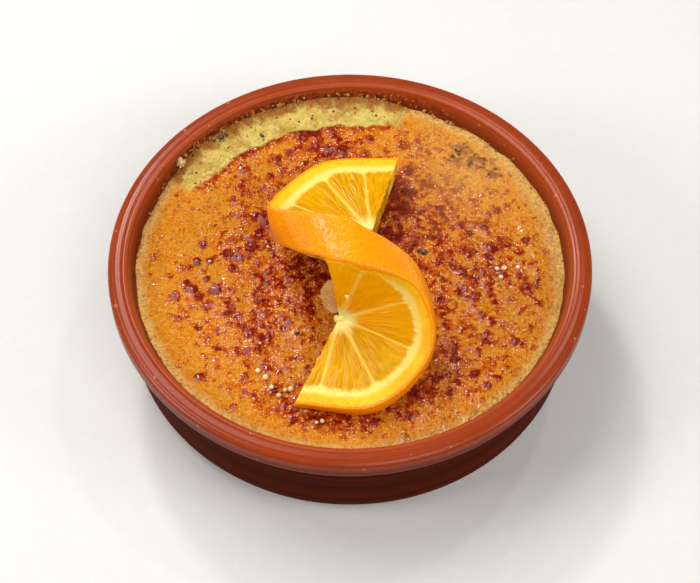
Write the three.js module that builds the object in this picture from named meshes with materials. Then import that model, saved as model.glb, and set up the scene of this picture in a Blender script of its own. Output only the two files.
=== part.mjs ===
// A creme brulee in its round terracotta dish, with a twisted slice of citrus fruit standing
// on the browned crust. Millimetres, +Z up. The dish stands on z = 0 with its middle at the
// origin, and its front is towards -Y.

import * as THREE from 'three';

// ---------------------------------------------------------------- driving dimensions

const SECTORS = 80;            // facets round the dish and the custard alike
const GAP = 0.3;               // clear space between the dish and what it holds

// Dish: a thrown bowl with a rolled lip
const LIP_RADIUS = 75;         // outside of the lip
const LIP_LOW = 34.5;          // height where the lip's side turns under
const LIP_UNDER = 4;           // rounding of its underside
const LIP_SHOULDER = 1.7;      // rounding of its outer edge
const CREST_RADIUS = 71.4;     // where the lip is highest
const CREST_TOP = 39.37;
const CREST_ROUND = 5.5;       // its broad top
const CREST_OUTER = 60;        // degrees from level where the broad top ends, outside
const CREST_INNER = 115;       // and inside
const WALL_RADIUS = 70.4;      // outside of the wall
const WALL_TOP = 27.5;         // height where the wall runs into the lip's underside
const FOOT_ROUND = 9.6;        // rounding from the wall to the flat base
const FLOOR = 6;               // thickness of the base
const WELL_ROUND = 8.5;        // rounding from the floor to the inner wall
// Inner wall from the well up to the lip, as [radius, height]
const INNER_WALL = [[63.6, 18], [64.2, 27], [68.2, 36.4]];

// Custard: its level, the crust's relief and the pale bank that climbs the wall at the back
const LEVEL = 32.7;            // mean height of the crust
const MENISCUS = 0.4;          // rise of the custard along the wall
const MENISCUS_WIDTH = 4;
const RINGS = 22;              // rings of facets across the surface
const CRAG = 0.11;             // height of each wave of the crust's relief
const CRAG_WAVES = 9;
const CRAG_LONGEST = 19;       // longest wave across the crust
const CRAG_RATIO = 0.87;       // each wave against the one before
const BANK_MIDDLE = 112;       // bearing of the bank, degrees from +X
const BANK_SPREAD = 44;        // degrees from its middle to its ends
const BANK_WIDTH = 10.8;       // from the wall inwards, at its middle
const BANK_RISE = 2.4;         // how far the custard climbs the wall there
const CRUST_STEP = 0.5;        // drop from the crust's edge to the bank

// Citrus twist: a slice slit from the rim to the core and bent into an S that stands up.
// Its stations give the middle of the rind at every eighth of the slice, as [x, y, z].
const RIND_STATIONS = [
  [-16, -53, 36.5], [8, -54.5, 37], [24.3, -37.5, 41.5],
  [20, -22.5, 58.5], [0, -19.5, 72.5], [-18, -9, 63.5],
  [-24, 8, 47], [-9, 28.9, 41.7], [15, 34.6, 38.2],
];
const FRONT_CORE = [-3.1, -27.3, 44.3];   // core on the face that shows in front
const REAR_CORE = [6.4, 1.3, 47.9];       // core on the face that shows behind
const SLICE_FRONT = 5.8;       // thickness at the front cut
const SLICE_MIDDLE = 12.4;     // thickness over the top of the arch
const SLICE_REAR = 10;         // thickness at the rear cut
const MIDDLE_AT = 190;         // where the slice is thickest, degrees round it
const ROLL_LIMIT = 82;         // the slice lies this many degrees from standing, each end
const ROLL_FROM = 30;          // the roll starts and ends at these degrees round the slice
const ROLL_TO = 315;
const CONE = 2.3;              // how much wider the rear face is than the front one
const CONE_START = 60;         // where the two faces are alike
const TEAR_AT = 196;           // where the flesh has torn from the core out to the rind
const TEAR_SPREAD = 5;         // degrees to each side of the tear
const TEAR_REACH = 0.78;       // how far out it goes, as a share of the radius
const CORE_SHARE = 0.045;      // radius of the core, as a share of the slice's
const FLESH_SHARE = 0.8;       // where the flesh meets the pith
const SEGMENTS = 10;
const SEGMENT_SWELL = 0.45;    // how far the flesh stands proud between its membranes
const RIND_SWELL = 0.5;        // roundness of the peel across its width
const TWIST_STEPS = { round: 72, radial: 6, across: 3 };

const FINISHES = {
  terracotta: { color: 0x9a3c1e, roughness: 0.35, metalness: 0 },
  crust: { color: 0xc8742c, roughness: 0.4, metalness: 0 },
  citrus: { color: 0xf8a412, roughness: 0.45, metalness: 0 },
};

// ---------------------------------------------------------------- helpers

const { cos, sin, PI, hypot, atan2, abs } = Math;
const { clamp, lerp, degToRad, smoothstep } = THREE.MathUtils;

// Points of an arc in a lathe profile, from one angle to another in degrees
function arc(radius, height, round, from, to, steps) {
  return Array.from({ length: steps + 1 }, (_, i) => {
    const a = degToRad(lerp(from, to, i / steps));
    return new THREE.Vector2(radius + round * cos(a), height + round * sin(a));
  });
}

// A solid of revolution about Z, from a profile of [radius, height] that starts and ends on the axis
function turned(profile) {
  return new THREE.LatheGeometry(profile, SECTORS).rotateX(PI / 2);
}

// Moves every vertex of a geometry by a function of its place
function reshape(geometry, move) {
  const place = geometry.attributes.position;
  const point = new THREE.Vector3();
  for (let i = 0; i < place.count; i += 1) {
    point.fromBufferAttribute(place, i);
    move(point);
    place.setXYZ(i, point.x, point.y, point.z);
  }
  geometry.computeVertexNormals();
  return geometry;
}

function named(name, geometry, finish) {
  const mesh = new THREE.Mesh(geometry, new THREE.MeshStandardMaterial(FINISHES[finish]));
  mesh.name = name;
  return mesh;
}

// ---------------------------------------------------------------- dish

// The inside of the dish from the middle of its floor up the wall, moved inwards by a gap
function insideProfile(gap) {
  const [foot] = INNER_WALL;
  const well = arc(foot[0] - WELL_ROUND, FLOOR + WELL_ROUND, WELL_ROUND - gap, -90, -8, 5);
  const wall = INNER_WALL.map(([radius, height]) => new THREE.Vector2(radius - gap, height));
  return [new THREE.Vector2(0, FLOOR + gap), ...well, ...wall];
}

function makeDish() {
  const crest = arc(CREST_RADIUS, CREST_TOP - CREST_ROUND, CREST_ROUND, CREST_OUTER, CREST_INNER, 5);
  const shoulder = crest[0].y - LIP_SHOULDER * sin(degToRad(CREST_OUTER));
  const outside = [
    new THREE.Vector2(0, 0),
    ...arc(WALL_RADIUS - FOOT_ROUND, FOOT_ROUND, FOOT_ROUND, -90, 0, 6),
    new THREE.Vector2(WALL_RADIUS - 0.3, WALL_TOP),
    ...arc(LIP_RADIUS - LIP_UNDER, LIP_LOW, LIP_UNDER, -80, 0, 4),
    ...arc(LIP_RADIUS - LIP_SHOULDER, shoulder, LIP_SHOULDER, 0, CREST_OUTER / 2, 1),
    ...crest,
  ];
  return turned([...outside, ...insideProfile(0).reverse()]);
}

// ---------------------------------------------------------------- custard

// Radius of the dish's inner wall at a height
function wallRadius(height) {
  const above = INNER_WALL.findIndex(([, z]) => z > height);
  const [r0, z0] = INNER_WALL[above - 1];
  const [r1, z1] = INNER_WALL[above];
  return lerp(r0, r1, (height - z0) / (z1 - z0));
}

// How much of the bank there is at a bearing, from 0 to 1
function bankShare(x, y) {
  const turn = abs(atan2(y, x) * 180 / PI - BANK_MIDDLE);
  return 1 - smoothstep(turn, BANK_SPREAD * 0.55, BANK_SPREAD);
}

// The crust's uneven skin: waves in many directions, each shorter than the one before
function crags(x, y) {
  let height = 0;
  for (let i = 0; i < CRAG_WAVES; i += 1) {
    const heading = i * 2.4;
    const wave = 2 * PI / (CRAG_LONGEST * CRAG_RATIO ** i);
    height += sin(wave * (x * cos(heading) + y * sin(heading)) + i * i);
  }
  return clamp(CRAG * height, -0.4, 0.35);
}

function surfaceHeight(x, y) {
  const fromWall = wallRadius(LEVEL) - hypot(x, y);
  const share = bankShare(x, y);
  const bankLine = BANK_WIDTH * (0.72 + 0.28 * share) + 0.5 * sin(0.4 * x) + 0.25 * sin(1.1 * x + 2);
  const onBank = share * (1 - smoothstep(fromWall, bankLine - 1.5, bankLine));
  const climb = share * BANK_RISE * (1 - clamp(fromWall / bankLine, 0, 1)) ** 1.3;
  const meniscus = MENISCUS * (1 - smoothstep(fromWall, 0, MENISCUS_WIDTH));
  return LEVEL + meniscus + climb - CRUST_STEP * onBank + crags(x, y) * (1 - 0.7 * onBank);
}

function makeCustard() {
  const below = insideProfile(GAP).filter((point) => point.y < LEVEL);
  const edge = wallRadius(LEVEL) - GAP;
  const surface = Array.from({ length: RINGS + 1 }, (_, i) => (
    new THREE.Vector2(edge * (1 - i / RINGS), LEVEL)
  ));
  return reshape(turned([...below, ...surface]), (point) => {
    if (point.z < LEVEL - 0.5) return;
    const radius = hypot(point.x, point.y);
    const towardsWall = radius < 1e-6 ? 1 : edge / radius;
    const edgeHeight = surfaceHeight(point.x * towardsWall, point.y * towardsWall);
    const stretch = (wallRadius(edgeHeight) - GAP) / edge;
    point.z = surfaceHeight(point.x, point.y);
    point.x *= stretch;
    point.y *= stretch;
  });
}

// ---------------------------------------------------------------- citrus twist

const rindPath = new THREE.CatmullRomCurve3(
  RIND_STATIONS.map((station) => new THREE.Vector3(...station)), false, 'catmullrom', 0.5,
);
const frontCore = new THREE.Vector3(...FRONT_CORE);
const rearCore = new THREE.Vector3(...REAR_CORE);

// Where the rind is at so many degrees round the slice, which way it runs, which way the slice's
// thickness points, from its front face to its rear one, and how thick it is
function sliceFrame(turn) {
  const middle = rindPath.getPoint(turn / 360);
  const along = rindPath.getPoint(Math.min(turn + 1.5, 360) / 360)
    .sub(rindPath.getPoint(Math.max(turn - 1.5, 0) / 360)).normalize();
  const roll = degToRad(lerp(-ROLL_LIMIT, ROLL_LIMIT, smoothstep(turn, ROLL_FROM, ROLL_TO)));
  const across = new THREE.Vector3(0, cos(roll), sin(roll));
  across.addScaledVector(along, -across.dot(along)).normalize();
  const thickness = lerp(SLICE_FRONT, SLICE_MIDDLE, smoothstep(turn, 0, MIDDLE_AT))
    - (SLICE_MIDDLE - SLICE_REAR) * smoothstep(turn, MIDDLE_AT, 360);
  const outwards = new THREE.Vector3().crossVectors(across, along);
  return { middle, across, outwards, thickness };
}

// A point of the slice: degrees round it, share of the radius from core to rind,
// and side from -1 on the front face to 1 on the rear one
function slicePoint(turn, share, side) {
  const { middle, across, outwards, thickness } = sliceFrame(turn);
  const cone = CONE * sin(PI * (turn - CONE_START) / (360 - CONE_START));
  const rind = middle.clone()
    .addScaledVector(across, side * thickness / 2)
    .addScaledVector(outwards, side * cone / 2 + RIND_SWELL * (1 - side * side));
  const torn = smoothstep(turn, TEAR_AT - TEAR_SPREAD, TEAR_AT + TEAR_SPREAD);
  const core = frontCore.clone().addScaledVector(across, thickness * (side + 1) / 2)
    .lerp(rearCore.clone().addScaledVector(across, thickness * (side - 1) / 2), torn);
  const bulge = abs(sin(PI * SEGMENTS * turn / 360)) ** 0.7;
  const inFlesh = smoothstep(share, 0.1, 0.3) * (1 - smoothstep(share, FLESH_SHARE - 0.15, FLESH_SHARE));
  return core.lerp(rind, share)
    .addScaledVector(across, side * SEGMENT_SWELL * (bulge * inFlesh - 0.5 * (share < FLESH_SHARE)));
}

// The tear leaves only the rind and a strip of flesh where the two halves part
function innerShare(turn) {
  const away = clamp(abs(turn - TEAR_AT) / TEAR_SPREAD, 0, 1);
  return lerp(TEAR_REACH, CORE_SHARE, away);
}

function makeTwist() {
  const { round, radial, across } = TWIST_STEPS;
  return reshape(new THREE.BoxGeometry(1, 1, 1, round, radial, across), (point) => {
    const turn = 360 * (point.x + 0.5);
    const share = lerp(innerShare(turn), 1, point.y + 0.5);
    point.copy(slicePoint(turn, share, 2 * point.z));
  });
}

// ---------------------------------------------------------------- the whole

const cremeBrulee = new THREE.Group();
cremeBrulee.add(
  named('dish', makeDish(), 'terracotta'),
  named('custard', makeCustard(), 'crust'),
  named('citrus_twist', makeTwist(), 'citrus'),
);

export default cremeBrulee;
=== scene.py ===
# A browned custard dessert in its glazed terracotta dish, with a twisted slice of citrus fruit
# standing on the crust. Every object is in metres in the frame of the CAD model. The functions
# that shape the pieces work in millimetres, and a piece is brought to metres when it is made.

import math
import random

import bpy
import numpy as np
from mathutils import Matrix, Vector, noise


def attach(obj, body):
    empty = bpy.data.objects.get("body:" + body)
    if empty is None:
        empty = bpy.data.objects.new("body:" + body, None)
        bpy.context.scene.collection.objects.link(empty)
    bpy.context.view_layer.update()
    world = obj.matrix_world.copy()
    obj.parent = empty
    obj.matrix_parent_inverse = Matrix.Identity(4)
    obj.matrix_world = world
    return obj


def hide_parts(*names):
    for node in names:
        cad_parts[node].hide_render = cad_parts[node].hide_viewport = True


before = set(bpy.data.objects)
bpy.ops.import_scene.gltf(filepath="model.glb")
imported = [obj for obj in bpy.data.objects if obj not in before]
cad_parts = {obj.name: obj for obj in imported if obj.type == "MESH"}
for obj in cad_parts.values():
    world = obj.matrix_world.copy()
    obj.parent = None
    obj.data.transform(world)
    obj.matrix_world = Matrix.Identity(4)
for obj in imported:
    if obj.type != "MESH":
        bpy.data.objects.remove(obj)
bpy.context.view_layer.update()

MM = 0.001

# ---------------------------------------------------------------- the dish, in millimetres

DISH_STEPS = 192               # facets round the dish
LIP_RADIUS = 75.0              # outside of the lip
LIP_LOW = 34.5                 # height where the lip's side turns under
LIP_UNDER = 4.0                # rounding of its underside
LIP_SHOULDER = 1.7             # rounding of its outer edge
CREST_RADIUS = 71.4            # where the lip is highest
CREST_TOP = 39.37
CREST_ROUND = 5.5              # its broad top
CREST_OUTER = 60.0             # degrees from level where the broad top ends, outside and inside
CREST_INNER = 115.0
INNER_EDGE = 0.8               # rounding of the edge above the inner wall
WALL_RADIUS = 70.4
WALL_TOP = 27.5                # where the wall starts to run out into the lip
FOOT_ROUND = 9.6
FLOOR = 6.0
WELL_ROUND = 8.5               # rounding inside, where the wall meets the floor
INNER_WALL = ((63.6, 18.0), (64.2, 27.0), (68.2, 36.4))      # [radius, height]
# Shallow grooves that turning left along the lip's top: [radius, half width, depth]
LIP_GROOVES = ((70.3, 0.3, 0.16), (73.2, 0.25, 0.09), (72.0, 0.2, 0.05))
OUTER_WAVES = (0.08, 5.2)      # depth and pitch of the throwing lines outside
INNER_WAVES = 0.05             # depth of those inside
GLAZED_INSIDE = 69.5           # inside this radius the glaze is that of the inner wall
BAKED_BEARING = 108.0          # middle of the custard baked on to the wall, degrees
BAKED_RISE = 3.2               # how much higher it reaches there than elsewhere
GAP = 0.3                      # between the dish and the custard's sides
MEETING_GAP = 0.03             # and where the crust meets the wall

# ---------------------------------------------------------------- the custard, in millimetres

LEVEL = 32.7
MENISCUS = 0.4
MENISCUS_WIDTH = 4.0
CRAG = 0.11                    # height of each wave of the crust's broad unevenness
CRAG_WAVES = 9
CRAG_LONGEST = 19.0
CRAG_RATIO = 0.87              # each wave's length to the one before
BANK_MIDDLE = 112.0            # bearing of the pale bank, degrees
BANK_SPREAD = 44.0
BANK_WIDTH = 10.8
BANK_RISE = 2.4
CRUST_STEP = 0.5               # from the pale bank up to the crust
CRUST_GRID = 290               # squares across the crust
SIDE_HEIGHTS = (29.0, 23.0)    # rings of the custard's side
CRAG_LIMITS = (-0.4, 0.35)
LUMPS = 0.16                   # heights of the fine relief: lumps of caramel,
RIPPLES_DRY = 0.03             # ripples of syrup where the crust is dry,
RIPPLES_WET = 0.19             # what wetness adds to them,
RUNS = 0.34                    # and long runs of syrup
BROWN_BASE = 0.4               # browning of the crust where nothing adds or takes away
DROP_HEIGHT = 0.13             # of a drop of melted sugar, to its radius
# Drops in three sizes: [size, seed, how brown]
DROPS = ((5.0, 57.0, 0.78), (3.2, 59.0, 0.68), (1.8, 63.0, 0.5))

# ---------------------------------------------------------------- the citrus slice, in millimetres

RIND_STATIONS = np.array([
    (-16, -53, 36.5), (8, -54.5, 37), (24.3, -37.5, 41.5), (20, -22.5, 58.5), (0, -19.5, 72.5),
    (-18, -9, 63.5), (-24, 8, 47), (-9.0, 28.9, 41.7), (15.0, 34.6, 38.2)])
FRONT_CORE = np.array((-3.1, -27.3, 44.3))
REAR_CORE = np.array((6.4, 1.3, 47.9))
SLICE_FRONT = 5.8              # thickness at the front end, at MIDDLE_AT and at the rear end
SLICE_MIDDLE = 12.4
SLICE_REAR = 10.0
MIDDLE_AT = 190.0              # degrees round the slice, as all that follow
ROLL_LIMIT = 82.0              # the slice rolls over from one side to the other
ROLL_FROM = 30.0
ROLL_TO = 315.0
HEADING_SPAN = 1.5             # the rind's heading is taken over this much to either side
CONE = 2.3                     # how far the two faces' edges lie apart in radius
CONE_START = 60.0
ARCH_FROM = (140, 178)         # the arch comes on and goes off between these
ARCH_TO = (232, 205)
TEAR_AT = 196.0
TEAR_SPREAD = 5.0
TEAR_REACH = 0.78              # shares of the radius: the tear, the core and the flesh
CORE_SHARE = 0.045
FLESH_SHARE = 0.835
ARCH_FLESH = 0.135             # how much farther out the flesh comes under the arch
UNDER_RIND = 0.025             # how far the flesh runs on under the rind
RIND_SWELL = 0.5
SLICE_RADIUS = 28.0            # mean, to turn shares of the radius into millimetres
MEMBRANES = (11.0, 49.0, 85.0, 126.0, 169.0, 205.0, 240.0, 275.0, 309.0, 339.0)
BEFORE_THE_CUT = MEMBRANES[0] - 36      # the membranes next to the two cut ends
PAST_THE_CUT = MEMBRANES[-1] + 32


# ---------------------------------------------------------------- small tools


def smooth(low, high, value):
    """Rises softly from 0 at low to 1 at high."""
    share = np.clip((value - low) / (high - low), 0.0, 1.0)
    return share * share * (3.0 - 2.0 * share)


def hump(distance, width):
    return np.exp(-((distance / width) ** 2))


def distance(x, y, to_x, to_y):
    return np.hypot(x - to_x, y - to_y)


def dome(away):
    """A round cap: 1 in the middle, 0 from one radius away."""
    return np.sqrt(np.clip(1 - away ** 2, 0, 1))


def fractal(x, y, size, octaves=3, seed=0.0):
    """Soft fractal noise over a plane, about -1 to 1, with features of a size."""
    return np.fromiter((noise.fractal(Vector((a, b, seed)), 0.8, 2.0, octaves)
                        for a, b in zip(x / size, y / size)), float, len(x))


def cells(x, y, seed):
    """Distances to the nearest and second nearest of scattered points."""
    return np.array([noise.voronoi(Vector((a, b, seed)))[0][:2] for a, b in zip(x, y)]).T


def start_piece():
    bpy.ops.object.select_all(action="DESELECT")


def choose(*pieces):
    """Selects these pieces only and works on the first."""
    start_piece()
    for piece in pieces:
        piece.select_set(True)
    bpy.context.view_layer.objects.active = pieces[0]


def take(piece, name):
    """Names a new piece and puts its place into its mesh."""
    piece.name = piece.data.name = name
    bpy.ops.object.transform_apply(location=True, rotation=True, scale=True)
    return piece


def places(piece):
    flat = np.empty(len(piece.data.vertices) * 3)
    piece.data.vertices.foreach_get("co", flat)
    return flat.reshape(-1, 3)


def move_to(piece, points_mm):
    piece.data.vertices.foreach_set("co", (np.asarray(points_mm) * MM).ravel())
    piece.data.update()


def mark(piece, **marks):
    """Keeps values at each vertex for the piece's material to read."""
    for name, values in marks.items():
        layer = piece.data.attributes.new(name, "FLOAT", "POINT")
        layer.data.foreach_set("value", np.asarray(values, dtype=np.float32))


def close_up(piece, merge=1e-6, open_ends=False):
    """Merges doubles, closes open ends with a fan and turns every face outwards."""
    choose(piece)
    bpy.ops.object.mode_set(mode="EDIT")
    bpy.ops.mesh.select_all(action="SELECT")
    bpy.ops.mesh.remove_doubles(threshold=merge)
    if open_ends:
        bpy.ops.mesh.select_all(action="DESELECT")
        bpy.ops.mesh.select_mode(type="EDGE")
        bpy.ops.mesh.select_non_manifold()
        bpy.ops.mesh.edge_face_add()
        bpy.ops.mesh.select_mode(type="FACE")
        bpy.ops.mesh.poke()
    bpy.ops.mesh.select_all(action="SELECT")
    bpy.ops.mesh.normals_make_consistent(inside=False)
    bpy.ops.object.mode_set(mode="OBJECT")


def finish_piece(piece, material, replaced=None, angle=60.0):
    """Smooth shading, a finish, the body that it rides on and the node that it stands for."""
    choose(piece)
    bpy.ops.object.shade_smooth_by_angle(angle=math.radians(angle))
    piece.data.materials.clear()
    piece.data.materials.append(material)
    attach(piece, "root")
    if replaced:
        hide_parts(replaced)


# ---------------------------------------------------------------- material tools


def linear(code):
    """The linear colour of a screen colour such as "#d99a4e"."""
    parts = [int(code[i:i + 2], 16) / 255 for i in (1, 3, 5)]
    return tuple(p / 12.92 if p <= 0.04045 else ((p + 0.055) / 1.055) ** 2.4
                 for p in parts) + (1.0,)


class Nodes:
    """The node tree of a material or group, filled by short calls."""

    def __init__(self, tree):
        self.tree = tree

    def put(self, kind, sockets=None, **settings):
        made = self.tree.nodes.new("ShaderNode" + kind)
        for name, value in settings.items():
            setattr(made, name, value)
        for name, value in (sockets or {}).items():
            self.feed(made.inputs[name], value)
        return made

    def feed(self, socket, value):
        if isinstance(value, bpy.types.NodeSocket):
            self.tree.links.new(value, socket)
        elif isinstance(value, str):
            socket.default_value = linear(value)
        else:
            socket.default_value = value

    def maths(self, operation, a, b=0.0, clamp=False):
        made = self.put("Math", operation=operation, use_clamp=clamp)
        self.feed(made.inputs[0], a)
        self.feed(made.inputs[1], b)
        return made.outputs[0]

    def plus(self, a, b):
        return self.maths("ADD", a, b)

    def minus(self, a, b, clamp=False):
        return self.maths("SUBTRACT", a, b, clamp)

    def times(self, a, b):
        return self.maths("MULTIPLY", a, b)

    def most(self, a, b):
        return self.maths("MAXIMUM", a, b)

    def rest(self, a):
        return self.minus(1.0, a)

    def between(self, value, low, high, to_low=0.0, to_high=1.0):
        made = self.put("MapRange", {"Value": value, "From Min": low, "From Max": high,
                                     "To Min": to_low, "To Max": to_high},
                        interpolation_type="SMOOTHSTEP")
        return made.outputs["Result"]

    def mix(self, share, a, b):
        """A mix of two colours, by the sockets that a Mix node has for them."""
        made = self.put("Mix", data_type="RGBA")
        self.feed(made.inputs[0], share)
        self.feed(made.inputs[6], a)
        self.feed(made.inputs[7], b)
        return made.outputs[2]

    def ramp(self, value, stops):
        made = self.put("ValToRGB", {"Fac": value})
        ends = made.color_ramp.elements
        while len(ends) < len(stops):
            ends.new(0.5)
        for end, (place, code) in zip(ends, stops):
            end.position = place
            end.color = linear(code)
        return made.outputs["Color"]

    def read(self, *names):
        """The values kept at the vertices under these names."""
        return [self.put("Attribute", attribute_name=name).outputs["Fac"] for name in names]

    def coordinates(self):
        return self.put("TexCoord").outputs["Object"]

    def clouds(self, place, scale, detail, roughness=0.5, output="Fac"):
        made = self.put("TexNoise", {"Vector": place, "Scale": scale, "Detail": detail,
                                     "Roughness": roughness})
        return made.outputs[output]

    def sway(self, clouds, amount):
        """Clouds as a swing to either side of 0."""
        return self.times(self.minus(clouds, 0.5), amount)

    def points(self, place, scale, dimensions):
        """Scattered points: the distance to the nearest and two random shares of its own."""
        dots = self.put("TexVoronoi", {"Vector": place, "Scale": scale},
                        voronoi_dimensions=dimensions)
        own = self.put("SeparateColor", {"Color": dots.outputs["Color"]}).outputs
        return dots.outputs["Distance"], own["Red"], own["Green"]

    def group(self, group, place, **sockets):
        """A group's result at a place. The sockets' names start with a capital in the group."""
        made = self.put("Group", node_tree=group)
        self.feed(made.inputs["Vector"], place)
        for name, value in sockets.items():
            self.feed(made.inputs[name.capitalize()], value)
        return made.outputs[0]

    def bump(self, height, strength, distance):
        made = self.put("Bump", {"Height": height, "Strength": strength, "Distance": distance})
        return made.outputs["Normal"]

    def surface(self, sockets):
        shader = self.put("BsdfPrincipled", sockets)
        end = self.put("OutputMaterial")
        self.tree.links.new(shader.outputs["BSDF"], end.inputs["Surface"])


def new_group(name, inputs, result):
    """Starts a group that takes a vector and the inputs: its nodes, and what it is given."""
    tree = bpy.data.node_groups.new(name, "ShaderNodeTree")
    for direction, sockets in (("INPUT", {"Vector": "Vector", **inputs}), ("OUTPUT", result)):
        for label, kind in sockets.items():
            tree.interface.new_socket(label, in_out=direction, socket_type="NodeSocket" + kind)
    return Nodes(tree), tree.nodes.new("NodeGroupInput").outputs


def give(n, value):
    """Hands a group's result out and returns the finished group."""
    n.feed(n.tree.nodes.new("NodeGroupOutput").inputs[0], value)
    return n.tree


def new_material(name):
    material = bpy.data.materials.new(name)
    material.use_nodes = True
    material.node_tree.nodes.clear()
    n = Nodes(material.node_tree)
    return material, n, n.coordinates()


def mottling_group():
    """A colour that drifts towards a deeper and a lighter one, in patches and in grains."""
    n, given = new_group("mottling", {"Colour": "Color", "Deeper": "Color", "Lighter": "Color",
                                      "Patches": "Float", "Grains": "Float", "Amount": "Float"},
                         {"Colour": "Color"})
    patches = n.clouds(given["Vector"], given["Patches"], 3.0, 0.6)
    grains = n.clouds(given["Vector"], given["Grains"], 4.0, 0.65)
    deep = n.times(n.between(patches, 0.42, 0.68), given["Amount"])
    light = n.times(n.between(grains, 0.5, 0.72), given["Amount"])
    return give(n, n.mix(light, n.mix(deep, given["Colour"], given["Deeper"]), given["Lighter"]))


def specks_group(name, dimensions):
    """Scattered specks of uneven size. Share says how much of the surface has them."""
    n, given = new_group(name, {"Scale": "Float", "Share": "Float"}, {"Mask": "Float"})
    away, chance, size = n.points(given["Vector"], given["Scale"], dimensions)
    here = n.maths("LESS_THAN", chance, given["Share"])
    reach = n.plus(n.times(size, 0.3), 0.12)
    round_dot = n.minus(1.0, n.maths("DIVIDE", away, reach), clamp=True)
    return give(n, n.times(here, n.between(round_dot, 0.0, 0.35)))


def froth_group(name, dimensions):
    """The height of a skin of small bubbles, in two sizes: a dome on some scattered points."""
    n, given = new_group(name, {"Large": "Float", "Small": "Float"}, {"Height": "Float"})
    height = 0.0
    for size, share, high in (("Large", 0.6, 1.0), ("Small", 0.75, 0.6)):
        away, chance, wide = n.points(given["Vector"], given[size], dimensions)
        reach = n.maths("DIVIDE", away, n.plus(n.times(wide, 0.25), 0.3))
        cap = n.minus(1.0, n.times(reach, reach), clamp=True)
        here = n.maths("LESS_THAN", chance, share)
        height = n.plus(height, n.times(n.times(n.times(cap, cap), here), high))
    return give(n, height)


mottling = mottling_group()
specks = specks_group("specks", "3D")
specks_on_top = specks_group("specks_on_top", "2D")      # for the crust, which lies level
froth = froth_group("froth", "3D")
froth_on_top = froth_group("froth_on_top", "2D")


# ---------------------------------------------------------------- finishes

# Screen colours
CLAY = {"colour": "#933610", "deeper": "#802d0d", "lighter": "#a1441b"}
# The bare clay colour is dark also as painted shade on the dish's body and under the lip; the
# light clay is painted light on the inside
BARE_CLAY_AND_SHADE, PAINTED_LIGHT_CLAY, TURNED_LINE, LIME_PIT = "#3e0f02", "#bc5628", "#7c2c0c", "#c08060"
BAKED_ON, BAKED_GOLD = "#54200a", "#b9702c"
TOASTING = ((0.0, "#c8801c"), (0.16, "#c47014"), (0.35, "#bc5a06"), (0.58, "#aa4200"),
            (0.8, "#942600"), (1.0, "#741000"))
# The pale foam colour is partly painted highlight: its specks stand in for glints on the froth
FROTHY_EDGE, PALE_FOAM_AND_GLINT, CHARRED = "#d6ac62", "#eebf8c", "#170b06"
PALE_CUSTARD = {"colour": "#c9af5a", "deeper": "#ac8238", "lighter": "#d9c980"}
SINGED, DARK_DOT, BROWN_GRIT = "#96602a", "#33230f", "#a87034"
ASH_LIGHT, ASH_DARK = "#945c40", "#4e2c1e"
ZEST = {"colour": "#ff9a00", "deeper": "#fe8600", "lighter": "#ffa802"}
PITH = {"colour": "#fcbc06", "deeper": "#f4a202", "lighter": "#ffd02c"}
INNER_PITH, OIL_GLAND = "#f9d468", "#e08a06"
JUICE = ((0.12, "#ecb424"), (0.32, "#d89a02"), (0.6, "#ce8a00"), (0.9, "#d89a02"))
# The lit flesh colour is painted light, for flesh lit from behind where it stands towards the arch
LIT_FLESH, FLESH_RIM, MEMBRANE, CORE_PITH = "#ffaa00", "#fddc70", "#fdd25a", "#fbe68c"


def glazed_terracotta():
    material, n, place = new_material("glazed_terracotta")
    split = n.put("SeparateXYZ", {"Vector": place})
    x, y, z = (split.outputs[axis] for axis in "XYZ")
    radius = n.maths("SQRT", n.plus(n.times(x, x), n.times(y, y)))
    glazed, baked = n.read("glazed", "baked")
    clay = n.group(mottling, place, patches=28.0, grains=900.0, amount=0.5, **CLAY)
    # rings that the turning leaves, as fine lines in colour and height
    ring_at = n.put("CombineXYZ", {"X": radius, "Y": z})
    rings = n.clouds(ring_at.outputs[0], 620.0, 2.0)
    # painted shade on the lip's underside in the bare clay's dark colour, and painted light on the
    # inside, which is made the lightest
    outside = n.between(radius, 0.0715, 0.073)
    painted_shade_under_lip = n.times(outside, n.between(z, 0.0378, 0.0345, 0.0, 0.6))
    inside = n.mix(n.between(radius, 0.071, 0.069, 0.0, 0.45), clay, PAINTED_LIGHT_CLAY)
    clay_with_painted_light_and_shade = n.mix(n.minus(glazed, painted_shade_under_lip), BARE_CLAY_AND_SHADE, inside)
    lined = n.mix(n.between(rings, 0.4, 0.75, 0.0, 0.35), clay_with_painted_light_and_shade, TURNED_LINE)
    pits = n.group(specks, place, scale=520.0, share=0.07)
    dusty = n.mix(n.times(pits, n.times(glazed, 0.5)), lined, LIME_PIT)
    # custard baked on to the wall above the crust, most of it along the bank
    stain = n.times(baked, n.between(n.clouds(place, 420.0, 5.0, 0.7), 0.4, 0.62))
    browned = n.mix(stain, dusty, BAKED_ON)
    gold = n.between(n.clouds(place, 760.0, 3.0), 0.58, 0.68)
    flecked = n.mix(n.times(baked, gold), browned, BAKED_GOLD)
    height = n.plus(n.times(rings, 0.35), n.times(n.clouds(place, 1500.0, 2.0), 0.06))
    height = n.plus(n.minus(height, n.times(pits, 0.5)), n.times(stain, 0.9))
    rough = n.plus(n.between(rings, 0.3, 0.7, 0.26, 0.36), n.times(stain, 0.3))
    rough = n.plus(rough, n.times(n.rest(glazed), 0.4))
    # the glaze shines on the lip's top more than on its side
    glaze = n.times(glazed, n.between(z, 0.0345, 0.038, 0.12, 0.38))
    n.surface({"Base Color": flecked, "Roughness": rough, "Specular IOR Level": 0.04,
               "Coat Weight": glaze, "Coat Roughness": 0.24,
               "Normal": n.bump(height, 0.5, 0.00025)})
    return material


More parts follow.
